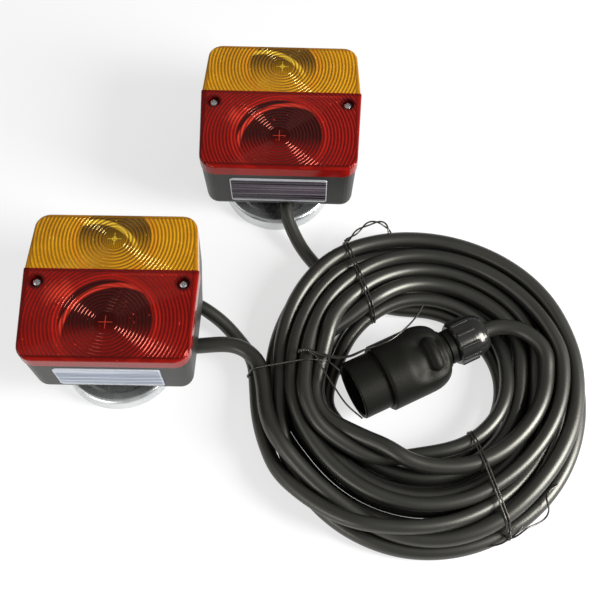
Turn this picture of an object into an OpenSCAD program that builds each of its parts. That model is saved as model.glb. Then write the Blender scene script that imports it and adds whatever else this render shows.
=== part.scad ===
/* [Lamp face] */
// Width of a lamp across its seam
lamp_w = 105; // [98:1:116]
// Height of a lamp face
lamp_h = 97; // [92:1:108]
// How far each side draws in from the seam to the upper and lower edges
side_draw = 2.2; // [0.4:0.2:4]
// Radius of the face's corners
corner_r = 10; // [7:0.5:14]
// Height of the seam between the amber and the red lens above the face's middle
seam_y = 10.5; // [8:0.5:13]

/* [Housing] */
// Depth of the housing from its back to its rim
housing_depth = 39.2; // [37:0.2:46]
// Thickness of the housing's side walls
housing_wall = 2.6; // [2:0.1:3.2]
// Thickness of the housing's back
back_wall = 2.5; // [2:0.1:3.5]
// How far the walls lean in from the rim to the back
housing_draft = 1.4; // [0.6:0.1:2.4]
// Radius of the edge round the housing's back
back_round = 5; // [3.5:0.5:7]
// How far the housing's rim stands inside the lens's edge
rim_step = 0.6; // [0.2:0.1:1]
// Thickness of the rubber seal under the lens
seal_t = 0.8; // [0.4:0.1:1.4]

/* [Lens] */
// Height of the lens's side wall
lens_depth = 9; // [8:0.5:12]
// Thickness of the lens's side wall
lens_wall = 2.2; // [1.8:0.1:2.8]
// Thickness of the lens's face
lens_face = 2; // [1.6:0.1:2.6]
// Radius of the edge round the lens's face
lens_round = 1.6; // [0.8:0.1:2]
// How far the amber lens stands inside the red lens's edge
amber_step = 0.6; // [0.2:0.1:1]
// Height of the amber rings' centre above the face's middle
amber_ring_y = 31; // [30:0.5:32]
// Distance of the red rings' centre below the face's middle
red_ring_y = 24; // [22:0.5:25]
// Distance from one ring flute to the next
flute_pitch = 2.2; // [1.8:0.1:3]
// Depth of the ring flutes
flute_depth = 0.6; // [0.3:0.05:0.8]
// Radius of the plain disc inside the rings
optic_r = 7; // [5:0.5:9]

/* [Lens screws] */
// Distance of each lens screw from the lens's side edge
screw_inset = 9; // [8.5:0.1:10]
// Height of the lens screws above the face's middle
screw_y = 1.8; // [1:0.1:3]
// Diameter of the screws' shank
screw_d = 3.9; // [3:0.1:4.4]
// Diameter of the screws' head
screw_head_d = 6; // [5.6:0.1:7]
// Diameter of the wells that the screw heads sit in
well_d = 8; // [7.4:0.1:8.4]
// Depth of the wells
well_depth = 3; // [2.4:0.1:4]

/* [Plate window] */
// Width of the window in the lower wall
window_w = 63; // [50:1:68]
// Height of the window
window_h = 28; // [22:0.5:29]
// Thickness of the window
window_t = 2; // [1.6:0.1:2.4]
// How far the window stands out of the wall
window_proud = 0.5; // [0.2:0.1:1]
// Distance from one window flute to the next
window_flute = 2.8; // [2.2:0.2:4]

/* [Reflector and bulbs] */
// Distance of the reflector's plate below the housing's rim
reflector_drop = 9.8; // [9.2:0.2:10]
// Thickness of the reflector
reflector_t = 1.2; // [0.8:0.1:1.4]
// Radius of the amber bowl's rim
amber_bowl_r = 22.5; // [22.4:0.1:23]
// Radius of the red bowl's rim
red_bowl_r = 27; // [24:0.5:27.5]
// Depth of both bowls
bowl_depth = 22.3; // [21.6:0.1:22.3]
// Diameter of a bulb's glass
bulb_d = 25; // [22:0.5:26]
// Diameter of a bulb's cap
bulb_cap_d = 15; // [14:0.5:15.5]
// Distance of the bulbs' middle above the bottom of the bowls
bulb_rise = 13; // [13:0.1:13.8]

/* [Magnet foot] */
// Diameter of the magnet cup
magnet_d = 75; // [66:1:80]
// Height of the magnet cup
magnet_h = 10; // [9.5:0.5:13]
// Thickness of the cup's wall
cup_wall = 2.2; // [1.6:0.1:2.8]
// Diameter of the hole through the magnet ring
ring_hole_d = 24; // [20:0.5:28]
// Distance of the foot's axis left of the lamp's middle
foot_x = 2.5; // [0:0.5:5]
// Distance of the foot's axis below the lamp's middle
foot_y = 15; // [13:0.5:17]
// Free height between the cup and the housing
foot_gap = 12.5; // [12.4:0.1:16]
// Diameter of the spacer in that gap
spacer_d = 18; // [15:0.5:20]
// Diameter of the foot's bolt
bolt_d = 6; // [5:0.5:7]

/* [Leads] */
// Diameter of the main lead
main_lead_d = 10; // [8:0.2:10.4]
// Diameter of the link lead between the lamps
link_lead_d = 9; // [7:0.2:10]
// Diameter of the moulded elbows that the leads come out of
elbow_d = 11.8; // [11.6:0.1:12]

/* [Coil] */
// Outer radius of the coil of leads
coil_outer_r = 105; // [104:0.5:106]
// Inner radius of the coil
coil_inner_r = 48; // [46:1:52]
// Height of the coil
coil_h = 29; // [26:1:32]
// Diameter of the wire of the ties
tie_d = 1.2; // [0.8:0.1:1.4]

/* [Plug] */
// Diameter of the plug's body
plug_d = 43; // [42:0.5:44]
// Diameter of the plug's sleeve
sleeve_d = 37; // [36:0.5:38]
// Length of the sleeve in front of the body
sleeve_reach = 19; // [17:0.5:21]
// Length of the plug's full-diameter body
body_len = 28; // [26:0.5:30]
// Length of the shoulder behind it
shoulder_len = 15; // [13:0.5:17]
// Diameter of the threaded neck
neck_d = 22; // [20:0.5:23]
// Length of the neck
neck_len = 12; // [10:0.5:14]
// Diameter of the gland nut over its ribs
nut_d = 29; // [28:0.5:30]
// Length of the gland nut
nut_len = 22; // [20:0.5:23]
// Diameter of the plug's contacts
contact_d = 5; // [4:0.1:5.4]

/* [Placing] */
// Distance between the lamps' middles across
lamp_dx = 100; // [98:0.5:102]
// Distance between the lamps' middles from front to back
lamp_dy = 130; // [128:0.5:132]
// Turn of the left lamp
left_yaw = -1; // [-1.5:0.1:0]
// Turn of the upper lamp
upper_yaw = -1.7; // [-2:0.1:0]
// Place of the coil's middle to the right
coil_x = 138; // [137:0.5:139]
// Place of the coil's middle to the front
coil_y = 103; // [102:0.5:104]
// Place of the plug's mouth to the right
plug_x = 95; // [94:0.5:96]
// Place of the plug's mouth to the front
plug_y = 111.5; // [111:0.5:112]
// Turn of the plug
plug_turn = 26; // [25:0.5:27]

/* [Hidden] */
$fn = 48;

black = "#1b1b1b";
rubber = "#242424";
zinc = "#c3c6c4";
steel = "#a9adb0";
amber = "#f0a010";
red = "#b01010";

// Clearance between pieces that slide into each other
fit = 0.1;
// Clearance between pieces that stay clear of each other
clear = 0.3;
// Overlap that makes a cut run clean through a face
cut = 1;

screw_span = lamp_w - 2 * screw_inset;

// Heights of a lamp above the surface it stands on
back_z = magnet_h + foot_gap;
floor_z = back_z + back_wall;
rim_z = back_z + housing_depth;
lens_z = rim_z + seal_t;
face_z = lens_z + lens_depth;
reflector_z = rim_z - reflector_drop;
bowl_z = reflector_z - bowl_depth;
bulb_z = bowl_z + bulb_rise;
lead_z = back_z - elbow_d / 2 - 0.2;

// The lamps' box is centred on the origin from front to back
stand_y = max(0, foot_y + magnet_d / 2 - lamp_h / 2) / 2;

// A lamp's face outline, drawn in from its edge by inset
function corner_arc(x, y, r, start, steps = 6) =
  [for (i = [0:steps]) [x + r * cos(start + 90 * i / steps), y + r * sin(start + 90 * i / steps)]];
function face_points(inset) =
  let (half_w = lamp_w / 2 - side_draw - inset)
  let (half_h = lamp_h / 2 - inset)
  let (seam_w = lamp_w / 2 - inset)
  let (r = max(corner_r - inset, 1))
  concat(
    corner_arc(half_w - r, half_h - r, r, 0),
    corner_arc(r - half_w, half_h - r, r, 90),
    [[-seam_w, seam_y]],
    corner_arc(r - half_w, r - half_h, r, 180),
    corner_arc(half_w - r, r - half_h, r, 270),
    [[seam_w, seam_y]]
  );

// A slab of a lamp's outline between two heights
module face_slab(inset, z_low, z_high) {
  translate([0, 0, z_low]) linear_extrude(z_high - z_low) polygon(face_points(inset));
}

// A box that keeps the part of a lamp between two heights of its face
module band(y_low, y_high) {
  translate([-lamp_w, y_low, 0]) cube([2 * lamp_w, y_high - y_low, 2 * face_z]);
}

module at_screws() {
  for (side = [-1, 1]) translate([side * screw_span / 2, screw_y, 0]) children();
}

module at_foot() {
  translate([-foot_x, -foot_y, 0]) children();
}

// A solid through the lamp's outline at each level, given as inset and height
module loft(levels) {
  count = len(face_points(0));
  last = len(levels) - 1;
  polyhedron(
    points = [for (level = levels) each [for (p = face_points(level[0])) [p[0], p[1], level[1]]]],
    faces = concat(
      [[for (k = [0:count - 1]) k]],
      [for (i = [0:last - 1], k = [0:count - 1])
        [i * count + k, (i + 1) * count + k, (i + 1) * count + (k + 1) % count, i * count + (k + 1) % count]],
      [[for (k = [count - 1:-1:0]) last * count + k]]
    )
  );
}

// The housing's block: walls that lean in and a round edge at the back
module housing_block(inset, z_back, edge_r, z_top) {
  loft(concat(
    [for (a = [90:-22.5:0])
      [inset + housing_draft + edge_r * (1 - cos(a)), z_back + edge_r * (1 - sin(a))]],
    [[inset, z_top]]
  ));
}

// The lower wall leans, and the window and its opening lean with it
window_z = rim_z - 4.2 - window_h / 2;
wall_lean = atan(housing_draft / (housing_depth - back_round));
window_y = lamp_h / 2 - rim_step - (rim_z - window_z) * tan(wall_lean);
module on_lower_wall() {
  translate([0, -window_y, window_z]) rotate([90 + wall_lean, 0, 0]) children();
}
module rounded_plate(w, h, r, t) {
  linear_extrude(t)
    polygon(concat(
      corner_arc(w / 2 - r, h / 2 - r, r, 0),
      corner_arc(r - w / 2, h / 2 - r, r, 90),
      corner_arc(r - w / 2, r - h / 2, r, 180),
      corner_arc(w / 2 - r, r - h / 2, r, 270)
    ));
}
window_r = 2.5;
window_ledge = 1.6;

// Cable entries: the place of an elbow's neck and the way its mouth looks
elbow_reach = 14;
elbow_neck_d = 8.5;
main_entry = [30, -15.5, 0];
link_entry = [30, 14.5, 0];
upper_entry = [4, -28, -90];
left_entries = [main_entry, link_entry];
upper_entries = [upper_entry];
module at_entry(entry) {
  translate([entry[0], entry[1], 0]) rotate([0, 0, entry[2]]) children();
}

boss_d = 8.6;
post_d = 6;
post_spots = [[-37, 14], [-37, -39], [37, 34], [37, -36]];

module housing(entries) {
  color(black)
  difference() {
    union() {
      difference() {
        housing_block(rim_step, back_z, back_round, rim_z);
        housing_block(rim_step + housing_wall, floor_z, back_round - back_wall / 2, rim_z + cut);
      }
      at_screws() translate([0, 0, floor_z - cut]) cylinder(d = boss_d, h = rim_z - floor_z + cut);
      for (spot = post_spots)
        translate([spot[0], spot[1], floor_z - cut]) cylinder(d = post_d, h = reflector_z - floor_z + cut);
    }
    at_screws() translate([0, 0, rim_z - screw_hold]) cylinder(d = screw_d + fit, h = screw_hold + cut);
    at_foot() translate([0, 0, back_z - cut]) cylinder(d = bolt_d + 2 * fit, h = back_wall + 2 * cut);
    for (entry = entries)
      at_entry(entry) translate([0, 0, back_z - cut])
        cylinder(d = elbow_neck_d + fit, h = back_wall + 2 * cut);
    on_lower_wall() {
      translate([0, 0, window_proud - window_t])
        rounded_plate(window_w + 2 * fit, window_h + 2 * fit, window_r, window_t + cut);
      translate([0, 0, -3 * housing_wall])
        rounded_plate(window_w - 2 * window_ledge, window_h - 2 * window_ledge, window_r, 4 * housing_wall);
    }
  }
}
screw_hold = 14;

module lens_seal() {
  color(rubber)
  difference() {
    face_slab(rim_step + clear, rim_z, lens_z);
    face_slab(housing_wall - clear, rim_z - cut, lens_z + cut);
  }
}

// Ring flutes inside a lens: a disc whose underside is a row of ridges
flute_root_z = face_z - lens_face;
disc_edge = 0.13;
module ring_flutes(reach) {
  start = optic_r + disc_edge;
  count = floor((reach - start) / flute_pitch);
  back = flute_root_z + lens_face / 2;
  rotate_extrude($fn = 96)
    polygon(concat(
      [[0, back], [0, flute_root_z]],
      [for (i = [0:count - 1], k = [0, 1])
        [start + (i + k / 2) * flute_pitch, flute_root_z - k * flute_depth]],
      [[start + count * flute_pitch, flute_root_z], [start + count * flute_pitch, back]]
    ));
}

// A lens's block with a round edge at its face
module lens_block(inset, z_low) {
  loft(concat(
    [[inset, z_low]],
    [for (a = [0:22.5:90])
      [inset + lens_round * (1 - cos(a)), face_z - lens_round * (1 - sin(a))]]
  ));
}

module lens(inset, y_low, y_high, ring_y) {
  intersection() {
    union() {
      difference() {
        lens_block(inset, lens_z);
        face_slab(inset + lens_wall, lens_z - cut, flute_root_z);
      }
      intersection() {
        translate([0, ring_y, 0]) ring_flutes(0.66 * lamp_w);
        face_slab(inset + lens_wall / 2, flute_root_z - lens_face, flute_root_z + lens_face);
      }
    }
    band(y_low, y_high);
  }
}

module amber_lens() {
  color(amber, 0.85) lens(amber_step, seam_y, lamp_h, amber_ring_y);
}

module red_lens() {
  color(red, 0.85)
  difference() {
    union() {
      lens(0, -lamp_h, seam_y, -red_ring_y);
      at_screws() translate([0, 0, rim_z]) cylinder(d = well_d + 1.2, h = face_z - rim_z - lens_round / 2);
    }
    at_screws() {
      translate([0, 0, rim_z - cut]) cylinder(d = screw_d + 2 * fit, h = face_z);
      translate([0, 0, face_z - well_depth]) cylinder(d = well_d, h = well_depth + cut);
    }
  }
}

module plate_window() {
  flutes = floor((window_h - 4) / window_flute);
  color("#d8e0e4", 0.6)
  on_lower_wall() intersection() {
    translate([0, 0, window_proud - window_t])
      rounded_plate(window_w, window_h, window_r, window_t + 1);
    rotate([90, 0, 90]) linear_extrude(window_w, center = true)
      polygon(concat(
        [[window_h / 2, window_proud - window_t], [window_h / 2, window_proud]],
        [for (i = [flutes - 1:-1:0], k = [1, 0.5, 0])
          [(i + k - flutes / 2) * window_flute, window_proud + (k == 0.5 ? 0.5 : 0)]],
        [[-window_h / 2, window_proud], [-window_h / 2, window_proud - window_t]]
      ));
  }
}

// A bowl's wall: an arc turned round the bowl's axis, with a lip inside the plate's hole
module bowl(rim_r) {
  arc_r = (rim_r * rim_r + bowl_depth * bowl_depth) / (2 * bowl_depth);
  span = asin(min(1, rim_r / arc_r));
  steps = 8;
  lip = 0.7 * reflector_t;
  rotate_extrude()
    polygon(concat(
      [for (i = [0:steps]) [arc_r * sin(span * i / steps), bowl_z + arc_r - arc_r * cos(span * i / steps)]],
      [[rim_r, reflector_z + lip], [rim_r + reflector_t, reflector_z + lip]],
      [for (i = [steps:-1:0]) [(arc_r + reflector_t) * sin(span * i / steps),
        bowl_z + arc_r - (arc_r + reflector_t) * cos(span * i / steps)]]
    ));
}

partition_t = 1.6;
slot_end = 9;
module reflector() {
  slot_d = bulb_cap_d + 2 * (fit + socket_wall) + 1;
  plate_inset = rim_step + housing_wall + housing_draft + 2 * clear;
  color("#d9dadb")
  difference() {
    intersection() {
      union() {
        difference() {
          face_slab(plate_inset, reflector_z, reflector_z + reflector_t);
          translate([0, amber_ring_y, reflector_z - cut])
            cylinder(r = amber_bowl_r + reflector_t / 2, h = 4 * cut);
          translate([0, -red_ring_y, reflector_z - cut])
            cylinder(r = red_bowl_r + reflector_t / 2, h = 4 * cut);
        }
        translate([0, amber_ring_y, 0]) bowl(amber_bowl_r);
        translate([0, -red_ring_y, 0]) bowl(red_bowl_r);
        translate([-lamp_w / 2, seam_y - partition_t / 2, reflector_z])
          cube([lamp_w, partition_t, flute_root_z - flute_depth - clear - reflector_z]);
      }
      face_slab(plate_inset, bowl_z - lens_depth, face_z);
    }
    for (y = [amber_ring_y, -red_ring_y])
      translate([-lamp_w / 2, y, bulb_z]) rotate([0, 90, 0])
        cylinder(d = slot_d, h = lamp_w / 2 - slot_end);
    translate([-window_w / 2, -lamp_h, bowl_z - lens_depth])
      cube([window_w, lamp_h / 2 + housing_wall + 5, lamp_h]);
    at_screws() cylinder(d = well_d + 3, h = face_z);
  }
}

// A bulb lies across its bowl, with its filament over the bowl's middle
glass_tip = 14.5;
glass_end = 18;
cap_len = 20;
module bulb(ring_y) {
  r = bulb_d / 2;
  cap_r = bulb_cap_d / 2;
  mid = glass_tip - r;
  color("#dfe6e6")
  translate([0, ring_y, bulb_z]) rotate([0, 90, 0]) rotate_extrude()
    polygon(concat(
      [for (a = [90:-10:-40]) [r * cos(a), mid + r * sin(a)]],
      [[cap_r - 0.6, -glass_end], [cap_r, -glass_end - 0.4], [cap_r, -glass_end - cap_len + 1],
        [cap_r - 1, -glass_end - cap_len], [3.4, -glass_end - cap_len],
        [3, -glass_end - cap_len - 1], [0, -glass_end - cap_len - 1]]
    ));
}

socket_len = 13;
socket_wall = 0.8;
module socket(ring_y) {
  bore_r = bulb_cap_d / 2 + fit;
  outer_r = bore_r + socket_wall;
  back_x = -glass_end - cap_len - 2;
  foot_w = 8;
  translate([0, ring_y, 0]) difference() {
    union() {
      translate([back_x - socket_wall, 0, bulb_z]) rotate([0, 90, 0])
        cylinder(r = outer_r, h = socket_len + socket_wall);
      translate([back_x - socket_wall, -foot_w / 2, floor_z])
        cube([socket_len, foot_w, bulb_z - floor_z]);
    }
    translate([back_x, 0, bulb_z]) rotate([0, 90, 0]) cylinder(r = bore_r, h = socket_len + cut);
  }
}

module bulb_sockets() {
  color(zinc) {
    socket(amber_ring_y);
    socket(-red_ring_y);
  }
}

block_x = -28.5;
block_size = [9, 18, 9];
module terminal_block() {
  color("#e8e4d8")
  translate([block_x, screw_y + 1, floor_z]) difference() {
    translate([-block_size[0] / 2, -block_size[1] / 2, 0]) cube(block_size);
    for (i = [-1, 0, 1]) translate([0, i * 5.6, block_size[2] - 3]) cylinder(d = 3, h = 3 + cut);
  }
}

module lens_screws() {
  seat_z = face_z - well_depth;
  color(steel)
  at_screws() difference() {
    union() {
      translate([0, 0, rim_z - screw_hold + 2]) cylinder(d = screw_d, h = seat_z - rim_z + screw_hold - 2);
      translate([0, 0, seat_z]) rotate_extrude()
        polygon(concat([[0, 0]], [for (a = [0:15:90]) [screw_head_d / 2 * cos(a), 2 * sin(a)]]));
    }
    for (turn = [0, 90]) rotate([0, 0, turn])
      translate([-screw_head_d / 3, -0.4, seat_z + 1]) cube([screw_head_d * 2 / 3, 0.8, 2]);
  }
}

// An elbow: its neck passes the housing's back, and its mouth holds the lead
flange_t = 1.4;
mouth_depth = 7;
module elbow(entry, lead_d) {
  at_entry(entry) difference() {
    union() {
      translate([0, 0, lead_z]) sphere(d = elbow_d);
      translate([0, 0, lead_z]) rotate([0, 90, 0]) cylinder(d = elbow_d, h = elbow_reach);
      translate([0, 0, lead_z]) cylinder(d = elbow_neck_d, h = floor_z - lead_z + flange_t);
      translate([0, 0, floor_z]) cylinder(d = elbow_neck_d + 3, h = flange_t);
    }
    translate([elbow_reach - mouth_depth, 0, lead_z]) rotate([0, 90, 0])
      cylinder(d = lead_d + fit, h = mouth_depth + cut);
  }
}

module left_elbows() {
  color(rubber) {
    elbow(main_entry, main_lead_d);
    elbow(link_entry, link_lead_d);
  }
}

module upper_elbow() {
  color(rubber) elbow(upper_entry, link_lead_d);
}

// The cup: a pressed pan, with a round shoulder and a sunk middle
shoulder_r = 3;
panel_drop = 1.4;
panel_r = magnet_d / 2 - 9;
module magnet_cup() {
  r = magnet_d / 2;
  inner_r = r - cup_wall;
  color(zinc)
  at_foot() rotate_extrude($fn = 96)
    polygon(concat(
      [[inner_r, 0], [r, 0]],
      [for (a = [0:15:90]) [r - shoulder_r * (1 - cos(a)), magnet_h - shoulder_r * (1 - sin(a))]],
      [[panel_r + 2, magnet_h], [panel_r, magnet_h - panel_drop],
        [spacer_d / 2 + 3, magnet_h - panel_drop], [spacer_d / 2 + 1, magnet_h],
        [bolt_d / 2 + fit, magnet_h], [bolt_d / 2 + fit, magnet_h - panel_drop - cup_wall],
        [inner_r, magnet_h - panel_drop - cup_wall]]
    ));
}

module magnet_ring() {
  color("#3a3c3e")
  at_foot() difference() {
    cylinder(d = magnet_d - 2 * cup_wall - 2 * fit, h = magnet_h - panel_drop - cup_wall, $fn = 96);
    translate([0, 0, -cut]) cylinder(d = ring_hole_d, h = magnet_h + cut);
  }
}

module foot_spacer() {
  color(black)
  at_foot() translate([0, 0, magnet_h]) difference() {
    cylinder(d = spacer_d, h = foot_gap);
    translate([0, 0, -cut]) cylinder(d = bolt_d + 2 * fit, h = foot_gap + 2 * cut);
  }
}

// The bolt hangs from a low head inside the housing, and its nut sits in the magnet's hole
bolt_head_d = 2 * bolt_d;
bolt_head_h = 2.4;
washer_t = 1.2;
nut_h = 4.4;
cup_floor_z = magnet_h - panel_drop - cup_wall;
module foot_bolt() {
  end_z = cup_floor_z - washer_t - nut_h - 0.2;
  color(steel)
  at_foot() rotate_extrude()
    polygon(concat(
      [[0, end_z], [bolt_d / 2 - 0.5, end_z], [bolt_d / 2, end_z + 0.5], [bolt_d / 2, floor_z],
        [bolt_head_d / 2, floor_z], [bolt_head_d / 2, floor_z + 0.4]],
      [for (a = [20:20:80]) [bolt_head_d / 2 * cos(a), floor_z + 0.4 + (bolt_head_h - 0.4) * sin(a)]],
      [[0, floor_z + bolt_head_h]]
    ));
}

module foot_washer() {
  color(zinc)
  at_foot() translate([0, 0, cup_floor_z - washer_t]) difference() {
    cylinder(d = 2.1 * bolt_d, h = washer_t);
    translate([0, 0, -cut]) cylinder(d = bolt_d + 2 * fit, h = washer_t + 2 * cut);
  }
}

module foot_nut() {
  color(zinc)
  at_foot() translate([0, 0, cup_floor_z - washer_t - nut_h]) difference() {
    cylinder(d = 1.9 * bolt_d, h = nut_h, $fn = 6);
    translate([0, 0, -cut]) cylinder(d = bolt_d + fit, h = nut_h + 2 * cut);
  }
}

// Where the two lamps stand
left_place = [-lamp_dx / 2, stand_y - lamp_dy / 2, 0];
upper_place = [lamp_dx / 2, stand_y + lamp_dy / 2, 0];
module at_left() {
  translate(left_place) rotate([0, 0, left_yaw]) children();
}
module at_upper() {
  translate(upper_place) rotate([0, 0, upper_yaw]) children();
}

// A point of a lamp, at the bottom of an elbow's mouth or a distance out of it
function turned(p, a) = [p[0] * cos(a) - p[1] * sin(a), p[0] * sin(a) + p[1] * cos(a)];
function out_of(place, yaw, entry, reach) =
  let (p = turned([entry[0] + reach * cos(entry[2]), entry[1] + reach * sin(entry[2])], yaw))
  [place[0] + p[0], place[1] + p[1], lead_z];
mouth_x = elbow_reach - mouth_depth;

// The leads' ways outside the coil
main_way = [
  out_of(left_place, left_yaw, main_entry, mouth_x),
  out_of(left_place, left_yaw, main_entry, elbow_reach + 2),
  [0, -78.8, 16.4], [8, -78, 16.4], [15, -77.7, 16.4], [21, -78.1, 16.3],
  [25.5, -79.4, 16], [29, -81.9, 15.6], [33.5, -85.9, 15.1], [37, -90, 14.8]
];
link_left_way = [
  out_of(left_place, left_yaw, link_entry, mouth_x),
  out_of(left_place, left_yaw, link_entry, elbow_reach + 2),
  [0, -52, 14.8], [5, -54.7, 13], [10, -57.8, 10.8], [15.5, -62.3, 8.3], [21, -68, 6],
  [25.5, -73.8, 5], [31, -80.8, 4.8], [33.5, -88.5, 4.8]
];
link_upper_way = [
  out_of(upper_place, upper_yaw, upper_entry, mouth_x),
  out_of(upper_place, upper_yaw, upper_entry, elbow_reach + 2),
  [53.5, 16.5, 14.5], [57, 8.5, 11.5], [61.5, -0.5, 8.5], [67, -8.5, 6.2], [73, -15.5, 5],
  [78.5, -22, 4.8]
];

// A round cord along a way: rings of points at the way's own points, joined by flat faces
function unit(v) = v / norm(v);
function heading(way, i) = unit(way[min(i + 1, len(way) - 1)] - way[max(i - 1, 0)]);
function ring(centre, along, r, sides) =
  let (across = unit(cross(along, [0, 0, 1])))
  let (up = cross(across, along))
  [for (k = [0:sides - 1]) centre + r * (cos(360 * k / sides) * across + sin(360 * k / sides) * up)];
module cord(way, d, sides = 12) {
  rings = len(way);
  polyhedron(
    points = [for (i = [0:rings - 1]) each ring(way[i], heading(way, i), d / 2, sides)],
    faces = concat(
      [[for (k = [sides - 1:-1:0]) k]],
      [for (i = [0:rings - 2], k = [0:sides - 1])
        [i * sides + k, i * sides + (k + 1) % sides, (i + 1) * sides + (k + 1) % sides, (i + 1) * sides + k]],
      [[for (k = [0:sides - 1]) (rings - 1) * sides + k]]
    )
  );
}

// The plug lies on its body, and its axis runs from its mouth to its gland
plug_z = plug_d / 2;
body_x = sleeve_reach;
shoulder_x = body_x + body_len;
neck_x = shoulder_x + shoulder_len;
nut_x = neck_x + 8;
nut_end = nut_x + nut_len;
module at_plug() {
  translate([plug_x, -plug_y, plug_z]) rotate([0, 0, plug_turn]) children();
}
// Turns a profile, drawn as radius and distance from the mouth, round the plug's axis
module turned_on_axis(points) {
  rotate([0, 90, 0]) rotate_extrude($fn = 64) polygon([for (p = points) [p[1], p[0]]]);
}
module rod(x_low, x_high, d) {
  translate([x_low, 0, 0]) rotate([0, 90, 0]) cylinder(d = d, h = x_high - x_low);
}

sleeve_wall = 2.4;
carrier_x = 12.5;
core_d = sleeve_d - 2 * sleeve_wall;
module plug_sleeve() {
  r = sleeve_d / 2;
  color(black)
  at_plug() difference() {
    union() {
      turned_on_axis([[0.8, r - sleeve_wall], [0, r - sleeve_wall + 0.8], [0, r - 0.8], [0.8, r],
        [body_x + 10, r], [body_x + 10, r - sleeve_wall]]);
      translate([1, -2.5, r - sleeve_wall - 1.6]) cube([carrier_x - 1.2, 5, 2.4]);
    }
  }
}

module contact_carrier() {
  r = core_d / 2 - fit;
  color("#2c2c2e")
  at_plug() difference() {
    turned_on_axis([[carrier_x, 0], [carrier_x, r - 0.6], [carrier_x + 0.6, r],
      [body_x + 10, r], [body_x + 10, 0]]);
    for (spot = contact_spots)
      translate([carrier_x - cut, spot[0], spot[1]]) rotate([0, 90, 0])
        cylinder(d = contact_d + fit, h = contact_hold + cut);
  }
}

contact_ring_r = core_d / 2 - 5.6;
contact_hold = 8;
contact_out = 6;
contact_spots = concat([[0, 0]], [for (i = [0:5])
  [contact_ring_r * cos(30 + 60 * i), contact_ring_r * sin(30 + 60 * i)]]);
module plug_contacts() {
  color("#c9a44c")
  at_plug() for (spot = contact_spots)
    translate([carrier_x - contact_out, spot[0], spot[1]]) rotate([0, 90, 0]) rotate_extrude($fn = 24)
      polygon([[contact_d / 2 - 1, 0], [contact_d / 2 - 0.4, 0], [contact_d / 2, 0.6],
        [contact_d / 2, contact_out + contact_hold], [0, contact_out + contact_hold],
        [0, contact_out], [contact_d / 2 - 1, contact_out]]);
}

// The plug's body: full round, then a shoulder with a thumb grip, then the neck
grip_x = shoulder_x + 7;
grip_len = 22;
grip_d = 6.6;
gland_bore_d = 17;
seal_x = neck_x + 2;
module plug_body() {
  r = plug_d / 2;
  bore = main_lead_d / 2 + fit;
  color(black)
  at_plug() difference() {
    union() {
      turned_on_axis(concat(
        [[body_x, sleeve_d / 2 + fit], [body_x, r - 0.8], [body_x + 0.8, r]],
        [for (a = [90:-10:10])
          [shoulder_x + shoulder_len * cos(a), neck_d / 2 + 1.5 + (r - neck_d / 2 - 1.5) * sin(a)]],
        [[neck_x, neck_d / 2 + 1.5], [neck_x + 1.6, neck_d / 2 + 1.5], [neck_x + 1.6, neck_d / 2 - 1],
          [neck_x + 3.4, neck_d / 2 - 1], [neck_x + 3.4, neck_d / 2], [neck_x + neck_len, neck_d / 2],
          [neck_x + neck_len, gland_bore_d / 2], [seal_x, gland_bore_d / 2], [seal_x, bore],
          [body_x + 16, bore], [body_x + 10 + fit, sleeve_d / 2 - 4],
          [body_x + 10 + fit, sleeve_d / 2 + fit]]
      ));
      for (side = [-1, 1]) {
        translate([grip_x, 0, side * grip_rise]) rotate([90, 0, 0])
          cylinder(d = grip_d, h = grip_len - grip_d, center = true);
        for (end = [-1, 1])
          translate([grip_x, end * (grip_len - grip_d) / 2, side * grip_rise]) sphere(d = grip_d);
      }
    }
    for (side = [-1, 1])
      translate([grip_x - 14.5, 0, side * (r + 11)]) rotate([90, 0, 0])
        cylinder(r = 15.5, h = grip_len - 2, center = true, $fn = 64);
  }
}
grip_rise = plug_d / 2 - 5.4;

module gland_seal() {
  color(rubber)
  at_plug() difference() {
    rod(seal_x + fit, neck_x + neck_len, gland_bore_d - 2 * fit);
    rod(seal_x - cut, nut_end, main_lead_d + 2 * fit);
  }
}

// The gland nut: a ribbed cap that screws over the neck
nut_ribs = 10;
rib_d = 3;
rib_len = 12.7;
module rib() {
  rotate([0, 90, 0]) rotate_extrude($fn = 24)
    polygon([[0, 0], [rib_d / 2 - 0.5, 0], [rib_d / 2, 0.5], [rib_d / 2, rib_len - 1.1],
      [rib_d / 2 - 0.4, rib_len - 0.4], [rib_d / 2 - 1.1, rib_len], [0, rib_len]]);
}
module gland_nut() {
  r = nut_d / 2 - 0.9;
  end_r = nut_d / 2 - 5;
  straight = nut_len * 0.55;
  color("#262626")
  at_plug() difference() {
    union() {
      turned_on_axis(concat(
        [[nut_x, 0], [nut_x, r - 1], [nut_x + 1, r], [nut_x + straight, r]],
        [for (a = [15:15:90])
          [nut_x + straight + (nut_len - straight) * sin(a), end_r + (r - end_r) * cos(a)]],
        [[nut_end, 0]]
      ));
      for (i = [0:nut_ribs - 1]) rotate([360 * i / nut_ribs, 0, 0])
        translate([nut_x + 1.3, 0, nut_d / 2 - rib_d / 2]) rib();
    }
    rod(nut_x - cut, neck_x + neck_len + fit, neck_d + 2 * fit);
    rod(nut_x, nut_end + cut, main_lead_d + 2 * fit);
  }
}

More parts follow.
